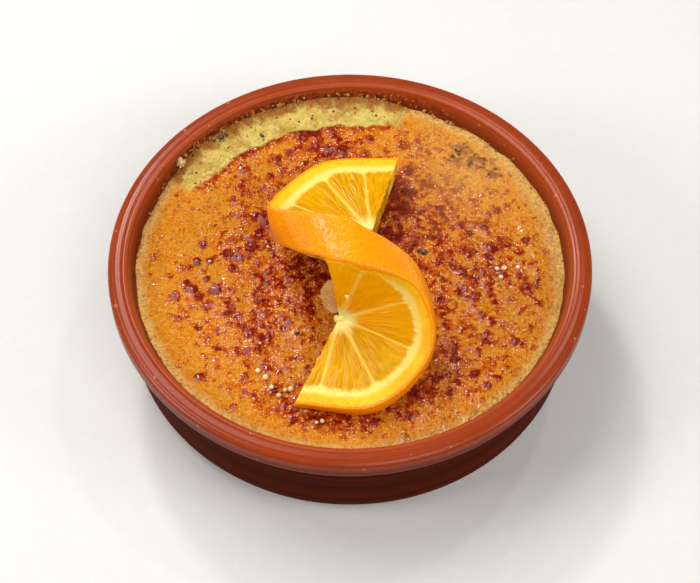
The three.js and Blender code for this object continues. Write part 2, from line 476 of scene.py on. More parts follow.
def caramel_crust():
    material, n, place = new_material("caramel_crust")
    browning, bank, char, edge, singed, ash, wet = n.read(
        "browning", "bank", "char", "edge", "singed", "ash", "wet")
    coarse = n.clouds(place, 210.0, 3.0, 0.6)
    uneven = n.plus(n.sway(n.clouds(place, 560.0, 4.0, 0.65), 1.3), n.sway(coarse, 1.1))
    toast = n.plus(browning, n.times(uneven, n.between(browning, 0.0, 0.5, 0.45, 1.0)))
    # the froth's cells are pushed about a little, so that none is quite round
    shaken = n.put("VectorMath", operation="MULTIPLY_ADD")
    push = n.clouds(place, 1100.0, 1.0, output="Color")
    for socket, value in zip(shaken.inputs, (push, (0.0011, 0.0011, 0.0), place)):
        n.feed(socket, value)
    uneven_place = shaken.outputs["Vector"]
    bubbles = n.group(froth_on_top, uneven_place, large=640.0, small=1250.0)
    freckles = n.group(specks_on_top, uneven_place, scale=820.0, share=0.4)
    toast = n.plus(toast, n.times(n.between(bubbles, 0.1, 0.5), 0.08))
    toast = n.plus(toast, n.times(freckles, 0.26))
    dark = n.between(toast, 0.45, 0.8)
    rim_tint = n.mix(n.times(edge, 0.85), n.ramp(toast, TOASTING), FROTHY_EDGE)
    # the pale bank, browner near the wall, with dark dots
    pale = n.group(mottling, place, patches=130.0, grains=500.0, amount=0.8, **PALE_CUSTARD)
    dirt = n.plus(n.clouds(place, 230.0, 5.0, 0.7), n.times(singed, 0.35))
    near_wall = n.mix(n.between(dirt, 0.58, 0.85), pale, SINGED)
    dots = n.times(n.times(n.group(specks, place, scale=700.0, share=0.3), bank), 0.85)
    dirty = n.mix(dots, n.mix(bank, rim_tint, near_wall), DARK_DOT)
    grit = n.between(n.clouds(place, 1000.0, 2.0), 0.46, 0.62)
    dirty = n.mix(n.times(grit, n.times(edge, 0.6)), dirty, BROWN_GRIT)
    # tiny pale bubbles of the torched froth, painted as pale specks that also stand in for its
    # glints: partly painted highlights
    foam_and_glints = n.group(specks_on_top, uneven_place, scale=1300.0, share=0.58)
    foam_and_glint_share = n.times(n.between(browning, 0.0, 0.3, 0.3, 0.85),
                         n.between(toast, 0.95, 0.45, 0.15, 1.0))
    foam_and_glint_share = n.times(foam_and_glint_share, n.rest(n.most(bank, edge)))
    with_foam_and_glints = n.mix(n.times(foam_and_glints, foam_and_glint_share), dirty, PALE_FOAM_AND_GLINT)
    cinders = n.mix(n.between(coarse, 0.42, 0.56), ASH_LIGHT, ASH_DARK)
    ashen = n.mix(ash, n.mix(char, with_foam_and_glints, CHARRED), cinders)
    # syrup, and runs of it as lines along the middle of a broad noise
    syrup = n.times(n.clouds(place, 700.0, 1.0), n.minus(2.2, n.times(dark, 1.6)))
    from_line = n.maths("ABSOLUTE", n.minus(n.clouds(place, 300.0, 1.0), 0.5))
    runs = n.times(n.between(from_line, 0.13, 0.0), 2.0)
    froth_height = n.times(bubbles, n.rest(n.times(dark, 0.75)))
    height = n.plus(froth_height, n.times(n.plus(syrup, runs), wet))
    dull = n.most(bank, ash)
    rough = n.between(n.most(n.rest(wet), dull), 0.3, 1.0, 0.12, 0.7)
    shiny = n.times(n.between(bubbles, 0.02, 0.2), n.rest(bank))
    rough = n.times(rough, n.rest(n.times(shiny, 0.8)))
    coat = n.times(n.between(wet, 0.2, 0.9, 0.0, 0.45), n.rest(dull))
    n.surface({"Base Color": ashen, "Roughness": rough, "Specular IOR Level": 0.04,
               "Subsurface Weight": 0.08, "Subsurface Radius": (0.003, 0.0014, 0.0006),
               "Subsurface Scale": 1.0, "Coat Weight": coat, "Coat Roughness": 0.06,
               "Normal": n.bump(height, 1.0, 0.00024)})
    return material


def peel_and_pith():
    material, n, place = new_material("peel_and_pith")
    depth, inward = n.read("depth", "inward")
    zest = n.group(mottling, place, patches=60.0, grains=700.0, amount=0.5, **ZEST)
    white = n.group(mottling, place, patches=160.0, grains=900.0, amount=0.7, **PITH)
    depth = n.plus(depth, n.sway(n.clouds(place, 380.0, 3.0), 0.7))
    inner = n.mix(n.between(inward, 1.9, 0.2), white, INNER_PITH)
    both = n.mix(n.between(depth, 0.7, 1.3), zest, inner)
    glands = n.group(specks, place, scale=560.0, share=0.6)
    near_skin = n.times(n.between(depth, 0.9, 1.3), n.between(depth, 2.6, 1.7))
    dotted = n.mix(n.times(n.times(glands, near_skin), 0.5), both, OIL_GLAND)
    pores = n.put("TexVoronoi", {"Vector": place, "Scale": 900.0}, feature="SMOOTH_F1")
    dimples = n.times(n.between(pores.outputs["Distance"], 0.0, 0.55),
                      n.between(depth, 1.1, 0.5))
    height = n.plus(dimples, n.times(n.clouds(place, 420.0, 2.0), 0.25))
    n.surface({"Base Color": dotted, "Roughness": n.between(depth, 0.7, 1.3, 0.2, 0.6),
               "Specular IOR Level": 0.26, "Subsurface Weight": 0.15,
               "Subsurface Radius": (0.003, 0.0014, 0.0002), "Subsurface Scale": 1.0,
               "Normal": n.bump(height, 0.5, 0.0003)})
    return material


def citrus_pulp():
    material, n, place = new_material("citrus_pulp")
    vesicle, wall, middle, rim, glow, round_deg, out_mm = n.read(
        "vesicle", "wall", "middle", "rim", "glow", "round_deg", "out_mm")
    # fibres that run from the rim to the core
    streak_at = n.put("CombineXYZ", {"X": n.times(round_deg, 0.5), "Y": n.times(out_mm, 0.28)})
    streaks = n.clouds(streak_at.outputs[0], 1.0, 3.0, 0.6)
    juice = n.ramp(n.plus(n.times(vesicle, 0.5), n.times(streaks, 0.5)), JUICE)
    frayed = n.plus(rim, n.sway(streaks, 0.9))
    # painted light: the flesh is made brighter where it stands up towards the arch
    glowing = n.mix(n.times(glow, 0.8), juice, LIT_FLESH)
    lit_rim = n.mix(n.between(frayed, 0.45, 1.05), glowing, FLESH_RIM)
    walls = n.mix(n.times(wall, 0.8), lit_rim, MEMBRANE)
    height = n.plus(n.times(streaks, 1.0), n.times(n.clouds(place, 900.0, 2.0), 0.15))
    n.surface({"Base Color": n.mix(middle, walls, CORE_PITH),
               "Roughness": n.plus(0.14, n.times(n.most(wall, middle), 0.25)),
               "Specular IOR Level": 0.12, "Subsurface Weight": 0.25,
               "Subsurface Radius": (0.004, 0.0018, 0.0002), "Subsurface Scale": 1.0,
               "Coat Weight": 0.06, "Coat Roughness": 0.06,
               "Normal": n.bump(height, 0.6, 0.0003)})
    return material


def plain_finish(name, colours, size, roughness, coat=0.0, alpha=1.0, inside=0.0):
    """A finish for the small pieces: an uneven colour, a deeper and a lighter one, and a fine
    grain."""
    material, n, place = new_material(name)
    colour, deeper, lighter = colours
    tint = n.group(mottling, place, colour=colour, deeper=deeper, lighter=lighter,
                   patches=size, grains=size * 5, amount=0.8)
    grain = n.group(froth, place, large=size * 3, small=size * 8)
    n.surface({"Base Color": tint, "Roughness": roughness, "Coat Weight": coat,
               "Coat Roughness": 0.08, "Alpha": alpha, "Subsurface Weight": inside,
               "Subsurface Radius": (0.003, 0.002, 0.001), "Subsurface Scale": 1.0,
               "Normal": n.bump(grain, 0.3, 0.0003)})
    return material


# ---------------------------------------------------------------- the dish


def arc(radius, height, round_by, start, end, steps):
    turns = np.radians(np.linspace(start, end, steps + 1))
    return [(radius + round_by * math.cos(a), height + round_by * math.sin(a)) for a in turns]


def ripple(start, end, depth, pitch):
    """A thrown wall: the line between two points with the fingers' shallow waves."""
    (r0, z0), (r1, z1) = start, end
    line = []
    for share in np.linspace(0, 1, max(4, int(abs(z1 - z0))) + 1):
        fade = math.sin(math.pi * share)
        z = z0 + (z1 - z0) * share
        wave = depth * fade * math.sin(2 * math.pi * z / pitch)
        line.append((r0 + (r1 - r0) * share + wave, z))
    return line


def dish_profile():
    """[radius, height] from the middle of the base, up the outside and down the inside."""
    broad = arc(CREST_RADIUS, CREST_TOP - CREST_ROUND, CREST_ROUND, CREST_OUTER, CREST_INNER, 22)
    broad = [(r, z - sum(deep * hump(r - at, wide) for at, wide, deep in LIP_GROOVES))
             for r, z in broad]
    outer, inner = math.radians(CREST_OUTER), math.radians(CREST_INNER)
    shoulder_height = broad[0][1] - LIP_SHOULDER * math.sin(outer)
    edge_radius = broad[-1][0] - INNER_EDGE * math.cos(inner)
    edge_height = broad[-1][1] - INNER_EDGE * math.sin(inner)
    foot, above, top = INNER_WALL
    outside = [(0, 0), (20, 0), (42, 0), (WALL_RADIUS - FOOT_ROUND - 1, 0)]
    outside += arc(WALL_RADIUS - FOOT_ROUND, FOOT_ROUND, FOOT_ROUND, -88, 0, 14)
    outside += ripple((WALL_RADIUS, FOOT_ROUND + 0.6), (WALL_RADIUS - 0.3, WALL_TOP - 0.6),
                      *OUTER_WAVES)
    outside += [(WALL_RADIUS - 0.25, WALL_TOP), (WALL_RADIUS + 0.1, WALL_TOP + 1.2),
                (WALL_RADIUS + 0.6, WALL_TOP + 2.3)]
    outside += arc(LIP_RADIUS - LIP_UNDER, LIP_LOW, LIP_UNDER, -72, 0, 9)
    outside += arc(LIP_RADIUS - LIP_SHOULDER, shoulder_height, LIP_SHOULDER,
                   0, CREST_OUTER - 8, 6)
    outside += broad
    inside = arc(edge_radius, edge_height, INNER_EDGE, CREST_INNER + 10, 175, 5)
    inside += ripple(top, above, INNER_WAVES, 2.6)
    inside += ripple(above, foot, INNER_WAVES, 4.0)[1:]
    inside += arc(foot[0] - WELL_ROUND, FLOOR + WELL_ROUND, WELL_ROUND, -8, -90, 10)
    inside += [(40, FLOOR), (20, FLOOR), (0, FLOOR)]
    return outside + inside


def make_dish():
    """The profile, drawn out from one point and spun round the dish's axis."""
    start_piece()
    profile = [Vector((r * MM, 0, z * MM)) for r, z in dish_profile()]
    bpy.ops.mesh.primitive_circle_add(vertices=3, radius=1 * MM)
    dish = bpy.context.object
    bpy.ops.object.mode_set(mode="EDIT")
    bpy.ops.mesh.select_all(action="SELECT")
    bpy.ops.mesh.merge(type="CENTER")
    for here, following in zip(profile, profile[1:]):
        bpy.ops.mesh.extrude_vertices_move(TRANSFORM_OT_translate={"value": following - here})
    bpy.ops.mesh.select_all(action="SELECT")
    bpy.ops.mesh.spin(steps=DISH_STEPS, angle=2 * math.pi, center=(0, 0, 0), axis=(0, 0, 1))
    bpy.ops.object.mode_set(mode="OBJECT")
    take(dish, "terracotta_dish")
    close_up(dish, 2e-6)
    x, y, z = places(dish).T / MM
    radius = np.hypot(x, y)
    bearing = np.degrees(np.arctan2(y, x))
    # the glaze ends under the lip; inside it is thinner lower down, and the base has none
    # without glaze the colour is the bare clay's, which is dark partly as painted shade
    inner_glaze = smooth(34.0, 37.5, z) * 0.6 + 0.4
    glazed = np.where(radius > GLAZED_INSIDE, smooth(28.5, 31.5, z), inner_glaze) * (z > 3)
    along_bank = smooth(62, 34, np.abs(bearing - BAKED_BEARING))
    reach = LEVEL + 1.0 + BAKED_RISE * along_bank
    baked = (radius < 69.6) & (z > 31)
    baked = baked * smooth(reach + 0.8, reach - 0.8, z) * (0.15 + 0.85 * along_bank)
    mark(dish, glazed=glazed, baked=baked)
    finish_piece(dish, glazed_terracotta(), "dish", 40.0)


# ---------------------------------------------------------------- the custard and its crust

# Where the crust is browned more (+) or less (-): [x, y, reach, strength]
BROWNED = (
    (-31, 16, 12, 0.16), (-23, -8, 15, 0.14), (-12, -24, 9, -0.1), (11, 29, 11, 0.42),
    (24, 15, 13, 0.16), (39, -2, 15, 0.14), (-6, -56, 14, 0.2), (-6, 47, 11, 0.3),
    (22, -38, 13, 0.15), (-34, -26, 12, 0.1), (30, 32, 10, 0.1), (0, 0, 20, 0.2),
    (-60, 2, 17, -0.6), (-52, -36, 13, -0.45), (-48, 25, 11, -0.4), (60, 14, 11, -0.35),
    (50, 38, 10, -0.35), (-36, -52, 10, -0.3), (58, -26, 7, 0.2), (48, -21, 10, -0.2),
    (-24, -48, 9, 0.1), (36, 44, 16, -0.25), (10, 52, 12, -0.15),
)
# Pools of melted sugar besides the long one at the right: [x, y, reach, strength]
POOLS = ((24, -46, 18, 0.8), (-24, -24, 20, 0.6), (-46, -8, 10, 0.3))
# Glossy blisters of caramel: [x, y, radius, height]
BLISTERS = (
    (-49.0, -9.3, 2.3, 0.75), (-46.3, -12.0, 1.8, 0.6), (-41.8, -9.0, 2.2, 0.7),
    (-38.3, 4.6, 2.4, 0.6), (-34.6, 2.6, 1.9, 0.6), (-36.4, -1.4, 1.7, 0.5),
    (-47.8, 1.2, 1.7, 0.6), (-43.8, 1.6, 1.5, 0.5), (-46.4, 8.0, 1.6, 0.5),
    (-31.6, 5.4, 1.6, 0.5), (-44.6, -5.2, 1.3, 0.4), (-50.8, -6.4, 1.3, 0.4),
    (31.5, -34.5, 1.6, 0.45), (38.5, -31.5, 1.4, 0.45), (41.5, -26.0, 1.3, 0.4),
    (43.5, -21.5, 1.3, 0.4), (28.5, 21.8, 1.8, 0.3), (42.5, 14.6, 1.7, 0.4),
    (9.6, -49.8, 1.7, 0.5), (17.5, -54.0, 1.9, 0.5), (37.0, -39.6, 1.9, 0.6),
    (32.0, -42.8, 1.5, 0.5), (40.8, -43.8, 1.6, 0.5),
)
BUBBLE_X, BUBBLE_Y, BUBBLE_RADIUS = 31.1, -14.9, 1.65      # one burst bubble, a ring
# Grey burnt patches and black specks: [x, y, radius]
ASHEN = ((36.5, 46.0, 4.2), (41.0, 41.5, 4.4), (46.2, 36.2, 3.4), (33.5, 43.0, 2.6))
BLACK_SPECKS = ((23.5, 4.8, 0.9), (21.8, 5.7, 0.6), (-16.1, -25.6, 0.8), (-14.9, -26.2, 0.5),
                (9.2, -23.4, 0.5), (-28.9, 52.2, 0.7), (-26.9, 47.8, 0.5), (-27.9, 50.0, 0.4))


def wall_radius(z):
    """The inner wall's radius at a height."""
    radii, heights = zip(*INNER_WALL)
    return np.interp(z, heights, radii)


EDGE_RADIUS = wall_radius(LEVEL) - MEETING_GAP


def bank_share(x, y):
    turn = np.abs(np.degrees(np.arctan2(y, x)) - BANK_MIDDLE)
    return 1 - smooth(BANK_SPREAD * 0.55, BANK_SPREAD, turn)


def bank_line(x, y):
    """How far the bank reaches from the wall: less towards its ends."""
    return (BANK_WIDTH * (0.72 + 0.28 * bank_share(x, y)) + 0.5 * np.sin(0.4 * x)
            + 0.25 * np.sin(1.1 * x + 2))


def crags(x, y):
    height = np.zeros_like(x)
    for i in range(CRAG_WAVES):
        heading = i * 2.4
        wave = 2 * math.pi / (CRAG_LONGEST * CRAG_RATIO ** i)
        height += np.sin(wave * (x * math.cos(heading) + y * math.sin(heading)) + i * i)
    return np.clip(CRAG * height, *CRAG_LIMITS)


def surface_height(x, y):
    """The height of the crust's broad shape, as in the solid."""
    from_wall = wall_radius(LEVEL) - np.hypot(x, y)
    share = bank_share(x, y)
    line = bank_line(x, y)
    on_bank = share * (1 - smooth(line - 1.5, line, from_wall))
    climb = share * BANK_RISE * (1 - np.clip(from_wall / line, 0, 1)) ** 1.3
    meniscus = MENISCUS * (1 - smooth(0, MENISCUS_WIDTH, from_wall))
    return LEVEL + meniscus + climb - CRUST_STEP * on_bank + crags(x, y) * (1 - 0.7 * on_bank)


def scattered(x, y, size, seed):
    """For each place, how far it is along and across from the nearest scattered point, in
    millimetres, and that point's own random share."""
    at = np.array([noise.voronoi(Vector((a, b, seed)))[1][0] for a, b in zip(x / size, y / size)])
    chance = np.sin(at[:, 0] * 12.99 + at[:, 1] * 78.23) * 4375.85 % 1.0
    dx, dy, heading = x - at[:, 0] * size, y - at[:, 1] * size, chance * 40
    return (dx * np.cos(heading) + dy * np.sin(heading),
            dy * np.cos(heading) - dx * np.sin(heading), chance)


def drops(x, y, size, density, seed):
    """Drops of melted sugar, rounded or longish: their domes and their darker rims."""
    along, across, chance = scattered(x, y, size, seed)
    reach = size * (0.2 + 0.28 * (chance * 7.7 % 1.0))
    away = np.hypot(along / (1 + 0.8 * (chance * 3.3 % 1.0)), across) / reach
    away = away * (1 + 0.24 * fractal(x, y, size * 0.5, 2, seed + 3))
    here = chance < density
    tint = 0.85 * smooth(1.35, 0.2, away) + 0.25 * hump(away - 0.7, 0.3)
    return here * dome(away) * reach, here * tint


def browning_at(x, y):
    """How brown the crust is, from 0 to about 1.2."""
    density = np.full_like(x, BROWN_BASE)
    for px, py, reach, strength in BROWNED:
        density += strength * hump(distance(x, y, px, py), reach)
    from_wall = wall_radius(LEVEL) - np.hypot(x, y)
    density -= 0.6 * (1 - smooth(1.5, 9, from_wall))
    drift_x = x + 1.1 * fractal(x, y, 4.0, 2, 11.0)
    drift_y = y + 1.1 * fractal(x, y, 4.0, 2, 17.0)
    cloud = fractal(drift_x, drift_y, 5.0, 3, 7.0)
    blotch = (fractal(drift_x, drift_y, 3.0, 4, 19.0)
              + 0.5 * fractal(drift_x, drift_y, 7.0, 2, 21.0))
    ground = 0.38 * smooth(0.2, 0.95, density + 0.35 * cloud)
    patches = smooth(0.5, 1.3, density + 0.7 * blotch + 0.22)
    return np.clip(ground + 0.82 * patches + 0.12 * cloud, -0.1, 1.0), np.clip(density, 0, 1)


def wetness_at(x, y, browning):
    """How much melted sugar lies on the crust, 0 to 1: most of it in the middle and right."""
    pools = hump(np.hypot((x - 48) / 1.2, (y + 2) / 1.7), 14)
    for px, py, reach, strength in POOLS:
        pools += strength * hump(distance(x, y, px, py), reach)
    return np.clip(0.12 + 0.4 * smooth(0.15, 0.7, browning) + 0.7 * pools, 0, 1)


def crust_relief(x, y, browning, wet, bank):
    """The fine relief of the crust: lumps of caramel and runs of syrup."""
    lumps = LUMPS * smooth(0.2, 0.8, browning) * (0.5 + 1.1 * fractal(x, y, 1.3, 2, 23.0))
    ripples = (RIPPLES_DRY + RIPPLES_WET * wet) * fractal(x, y, 1.25, 2, 29.0)
    runs = RUNS * wet ** 2 * hump(fractal(x, y, 3.0, 2, 31.0), 0.2)
    return (lumps + ripples + runs) * (1 - 0.75 * bank)


def custard_sheet(below):
    """A square grid with rings drawn down from its edge and a closed base. Returns the piece,
    the squares' places from -1 to 1 and, in the rings, each vertex's ring number."""
    start_piece()
    bpy.ops.mesh.primitive_grid_add(x_subdivisions=CRUST_GRID, y_subdivisions=CRUST_GRID, size=2)
    custard = bpy.context.object
    bpy.ops.object.mode_set(mode="EDIT")
    bpy.ops.mesh.select_all(action="DESELECT")
    bpy.ops.mesh.select_mode(type="EDGE")
    bpy.ops.mesh.select_non_manifold()
    for _ in below:
        bpy.ops.mesh.extrude_region_move(TRANSFORM_OT_translate={"value": (0, 0, -1)})
    bpy.ops.mesh.edge_face_add()
    bpy.ops.mesh.select_mode(type="FACE")
    bpy.ops.mesh.poke()
    bpy.ops.object.mode_set(mode="OBJECT")
    take(custard, "browned_custard")
    u, v, ring = places(custard).T
    return custard, u, v, np.rint(-ring).astype(int)


def square_to_disc(u, v):
    """Squares of one size on a disc: how far out each place is, with a sign, and its turn."""
    wide = np.abs(u) > np.abs(v)
    reach = np.where(wide, u, v)
    turn = np.where(wide, math.pi / 4 * v / np.where(wide, np.where(u == 0, 1, u), 1),
                    math.pi / 2 - math.pi / 4 * u / np.where(wide, 1, np.where(v == 0, 1, v)))
    return reach, turn


def crust_skin(x, y):
    """The crust's relief and all that its finish reads, at each place."""
    from_wall = wall_radius(LEVEL) - np.hypot(x, y)
    line = bank_line(x, y) + 0.4 * fractal(x, y, 1.4, 3, 41.0)
    share = bank_share(x, y)
    along_line = smooth(0.15, 0.5, share)
    bank = smooth(0.12, 0.3, share) * (1 - smooth(line - 0.9, line + 0.1, from_wall))
    browning, density = browning_at(x, y)
    wet = wetness_at(x, y, browning)
    relief = crust_relief(x, y, browning, wet, bank)
    for size, seed, deep in DROPS:
        height, tint = drops(x, y, size, 0.05 + 0.24 * density + 0.17 * wet, seed)
        relief = relief + DROP_HEIGHT * height * (1 - bank)
        wet = np.maximum(wet, 0.75 * smooth(0.0, 0.4, tint))
        browning = np.maximum(browning, browning * 0.5 + deep * tint)
    for px, py, size, height in BLISTERS:
        away = distance(x, y, px, py) * (1 + 0.4 * fractal(x, y, 1.9, 2, px)) / size
        wrinkled = 0.75 + 0.35 * fractal(x, y, 1.1, 1, py)
        relief = relief + 0.8 * height * wrinkled * dome(away)
        browning = np.maximum(browning,
                              0.86 * smooth(1.0, 0.7, away) + 0.16 * smooth(1.9, 0.8, away))
        wet = np.maximum(wet, 0.9 * smooth(1.1, 0.8, away))
    away = distance(x, y, BUBBLE_X, BUBBLE_Y)
    relief = relief * smooth(0.8, 2.0, away) + 0.3 * hump(away - BUBBLE_RADIUS, 0.35)
    browning = np.where(away < BUBBLE_RADIUS + 0.5,
                        0.05 + 0.95 * hump(away - BUBBLE_RADIUS, 0.28), browning)
    ash = np.zeros_like(x)
    for px, py, size in ASHEN:
        away = distance(x, y, px, py) + 1.4 * fractal(x, y, 1.8, 2, 43.0)
        ash = np.maximum(ash, smooth(size, size * 0.5, away))
    ash = 0.9 * ash * smooth(-0.5, 0.1, fractal(x, y, 1.6, 2, 67.0))
    char = np.zeros_like(x)
    for px, py, size in BLACK_SPECKS:
        away = distance(x, y, px, py) + 0.4 * fractal(x, y, 0.7, 2, px)
        char = np.maximum(char, smooth(size, size * 0.55, away))
    # the crust's edge along the bank is burnt, blackest in its middle
    burnt_line = along_line * hump(from_wall - line - 0.15, 0.7)
    blackest = 0.35 + 0.65 * hump(x + 13, 10)
    broken = smooth(-0.5, 0.2, fractal(x, y, 2.2, 3, 47.0))
    char = np.maximum(char, blackest * burnt_line * broken)
    browning = np.maximum(browning, 0.55 * along_line * hump(from_wall - line - 0.9, 1.3))
    # pale froth at the wall and over a patch at the back
    fringe = 3.8 + 3.6 * hump(distance(x, y, 52, 26) / 34, 1)
    edge = 1 - smooth(0.5, fringe, from_wall + 1.2 * fractal(x, y, 4.0, 2, 53.0))
    edge = np.maximum(edge, 0.4 * hump(distance(x, y, 38, 38), 17))
    return relief, {"browning": browning, "wet": wet, "bank": bank, "char": char, "ash": ash,
                    "singed": smooth(6.5, 0.5, from_wall), "edge": edge}


BELOW_THE_CRUST = {"browning": -0.1, "bank": 0.6, "edge": 0.3}      # other marks are 0 there


def make_custard():
    foot = INNER_WALL[0]
    below = [(wall_radius(height) - GAP, height) for height in SIDE_HEIGHTS]
    below += [(foot[0] - GAP, foot[1])]
    below += arc(foot[0] - WELL_ROUND, FLOOR + WELL_ROUND, WELL_ROUND - GAP, -8, -90, 5)
    custard, u, v, ring = custard_sheet(below)
    reach, turn = square_to_disc(u, v)
    x = EDGE_RADIUS * reach * np.cos(turn)
    y = EDGE_RADIUS * reach * np.sin(turn)
    radius = np.hypot(x, y)
    relief, marks = crust_skin(x, y)

    # the broad surface, stretched so that its edge follows the sloping wall
    safe = np.where(radius < 1e-6, 1.0, radius)
    edge_height = surface_height(x / safe * EDGE_RADIUS, y / safe * EDGE_RADIUS)
    stretch = (wall_radius(edge_height) - MEETING_GAP) / EDGE_RADIUS
    calm = smooth(0.0, 2.5, EDGE_RADIUS - radius)
    z = surface_height(x, y) + relief * calm
    points = np.stack([x * stretch, y * stretch, z], axis=1)
    for number, (ring_radius, ring_height) in enumerate(below, start=1):
        here = (ring == number) & (radius > 1)
        points[here] = np.stack([np.cos(turn) * np.sign(reach) * ring_radius,
                                 np.sin(turn) * np.sign(reach) * ring_radius,
                                 np.full_like(x, ring_height)], axis=1)[here]
    points[(ring == len(below)) & (radius <= 1)] = (0, 0, FLOOR + GAP)
    move_to(custard, points)
    mark(custard, **{name: np.where(ring > 0, BELOW_THE_CRUST.get(name, 0), values)
                     for name, values in marks.items()})
    close_up(custard)
    finish_piece(custard, caramel_crust(), "custard", 80.0)


# ---------------------------------------------------------------- the citrus slice


def rind_path(turn):
    """The middle of the rind at so many degrees round the slice: a Catmull-Rom curve."""
    count = len(RIND_STATIONS) - 1
    along = np.clip(turn / 360 * count, 0, count - 1e-9)
    index = along.astype(int)
    w = (along - index)[:, None]
    ends = np.vstack([2 * RIND_STATIONS[0] - RIND_STATIONS[1], RIND_STATIONS,
                      2 * RIND_STATIONS[-1] - RIND_STATIONS[-2]])
    p0, p1, p2, p3 = (ends[index + i] for i in range(4))
    m1, m2 = (p2 - p0) / 2, (p3 - p1) / 2
    return ((2 * w ** 3 - 3 * w ** 2 + 1) * p1 + (w ** 3 - 2 * w ** 2 + w) * m1
            + (3 * w ** 2 - 2 * w ** 3) * p2 + (w ** 3 - w ** 2) * m2)


def slice_frame(turn):
    """Where the rind's middle is, which way the slice's thickness and its outside point,
    and how thick the slice is."""
    middle = rind_path(turn)
    ahead, behind = np.minimum(turn + HEADING_SPAN, 360), np.maximum(turn - HEADING_SPAN, 0)
    along = rind_path(ahead) - rind_path(behind)
    along /= np.linalg.norm(along, axis=1, keepdims=True)
    roll = np.radians(-ROLL_LIMIT + 2 * ROLL_LIMIT * smooth(ROLL_FROM, ROLL_TO, turn))
    across = np.stack([np.zeros_like(roll), np.cos(roll), np.sin(roll)], axis=1)
    across -= (across * along).sum(axis=1, keepdims=True) * along
    across /= np.linalg.norm(across, axis=1, keepdims=True)
    thickness = (SLICE_FRONT + (SLICE_MIDDLE - SLICE_FRONT) * smooth(0, MIDDLE_AT, turn)
                 - (SLICE_MIDDLE - SLICE_REAR) * smooth(MIDDLE_AT, 360, turn))
    return middle, across, np.cross(across, along), thickness


def slice_points(turn, share, side, proud=0.0):
    """Points of the slice: degrees round it, share of the radius from core to rind, side from
    -1 on the front face to 1 on the rear one, and how far they stand proud of that face."""
    turn, share, side, proud = (np.asarray(a, float)
                                for a in np.broadcast_arrays(turn, share, side, proud))
    middle, across, outwards, thickness = slice_frame(turn)
    cone = CONE * np.sin(math.pi * (turn - CONE_START) / (360 - CONE_START))
    rind = (middle + across * (side * thickness / 2)[:, None]
            + outwards * (side * cone / 2 + RIND_SWELL * (1 - side ** 2))[:, None])
    torn = smooth(TEAR_AT - TEAR_SPREAD, TEAR_AT + TEAR_SPREAD, turn)[:, None]
    core = ((1 - torn) * (FRONT_CORE + across * (thickness * (side + 1) / 2)[:, None])
            + torn * (REAR_CORE + across * (thickness * (side - 1) / 2)[:, None]))
    return core + (rind - core) * share[:, None] + across * (np.sign(side) * proud)[:, None]


def under_arch(turn, side):
    """1 on the front face where the slice arches over, 0 elsewhere."""
    return smooth(*ARCH_FROM, turn) * smooth(*ARCH_TO, turn) * (side < 0)


def flesh_limit(turn, side):
    """Share of the radius where the flesh ends: under the arch nearly at the peel."""
    return FLESH_SHARE + ARCH_FLESH * under_arch(turn, side)


def inner_share(turn):
    """Share of the radius where the flesh starts: at the core or, in the tear, near the rind."""
    away = np.clip(np.abs(turn - TEAR_AT) / TEAR_SPREAD, 0, 1)
    return TEAR_REACH + (CORE_SHARE - TEAR_REACH) * away


def swept(name, loop, turn_count):
    """A sheet of squares to be bent into a tube along the slice: x counts the points round its
    cross-section, y the steps round the slice. Returns the sheet and, for each vertex, the two
    values of its point of the loop and its step."""
    start_piece()
    bpy.ops.mesh.primitive_grid_add(x_subdivisions=len(loop), y_subdivisions=turn_count, size=1)
    sheet = take(bpy.context.object, name)
    flat = places(sheet)
    place = np.rint((flat[:, 0] + 0.5) * len(loop)).astype(int)
    step = np.rint((flat[:, 1] + 0.5) * turn_count).astype(int)
    first, second = np.array(loop + [loop[0]])[place].T
    return sheet, first, second, step


def segment_place(turn):
    """Where a point is between two membranes, from 0 to 1, and degrees to the nearest one."""
    walls = np.array((BEFORE_THE_CUT,) + MEMBRANES + (PAST_THE_CUT,))
    index = np.clip(np.searchsorted(walls, turn) - 1, 0, len(walls) - 2)
    low, high = walls[index], walls[index + 1]
    return (turn - low) / (high - low), np.minimum(turn - low, high - turn)


# The rind's cross-section: [share of the radius, side], with a rounded edge on both sides
RIND_EDGE = [(0.986, 0.985), (0.995, 0.95), (1.0, 0.89)]
RIND_FACE = np.linspace(0.74, 0.975, 15)
RIND_SECTION = (
    [(s, -1.0) for s in RIND_FACE] + [(s, -side) for s, side in RIND_EDGE]
    + [(1.0, s) for s in np.linspace(-0.8, 0.8, 17)]
    + RIND_EDGE[::-1] + [(s, 1.0) for s in RIND_FACE[::-1]] + [(0.74, 0.4), (0.74, -0.4)])
RIND_STEPS = 340
FLESH_STEPS = 560
FACE_STEPS = 56
CUT_ROWS = 6                   # rows of squares from each edge of a cut end to its middle
SUNK = 0.45                    # millimetres that the flesh sinks under the rind,
RISEN = 0.6                    # that it rises from there,
BULGE = 0.2                    # that a segment bulges between its membranes,
SAC_RISE = 0.34                # that a juice sac stands up
MEMBRANE_SINK = 0.08           # and that a membrane's line is sunk


def make_rind():
    rind, share, side, step = swept("citrus_rind", RIND_SECTION, RIND_STEPS)
    turn = 360 * step / RIND_STEPS
    waver = 0.12 * fractal(turn, 9 * side + 3 * share, 9.0, 2, 61.0) * (share > 0.97)
    outwards = slice_frame(turn)[2]
    move_to(rind, slice_points(turn, share, side) + outwards * waver[:, None])
    # under the arch the peel comes right up to the flesh
    thin = under_arch(turn, side)
    mark(rind, depth=(1 - share) * SLICE_RADIUS * (1 - 0.8 * thin),
         inward=(share - FLESH_SHARE) * SLICE_RADIUS)
    close_up(rind, open_ends=True)
    finish_piece(rind, peel_and_pith(), "citrus_twist", 50.0)


def flesh_loop():
    """The flesh's cross-section: [share from the core to the rind, side]."""
    face = np.linspace(0, 1, FACE_STEPS + 1)
    return ([(f, -1.0) for f in face] + [(1.0, -0.5), (1.0, 0.0), (1.0, 0.5)]
            + [(f, 1.0) for f in face[::-1]] + [(0.0, s) for s in np.linspace(0.75, -0.75, 7)])


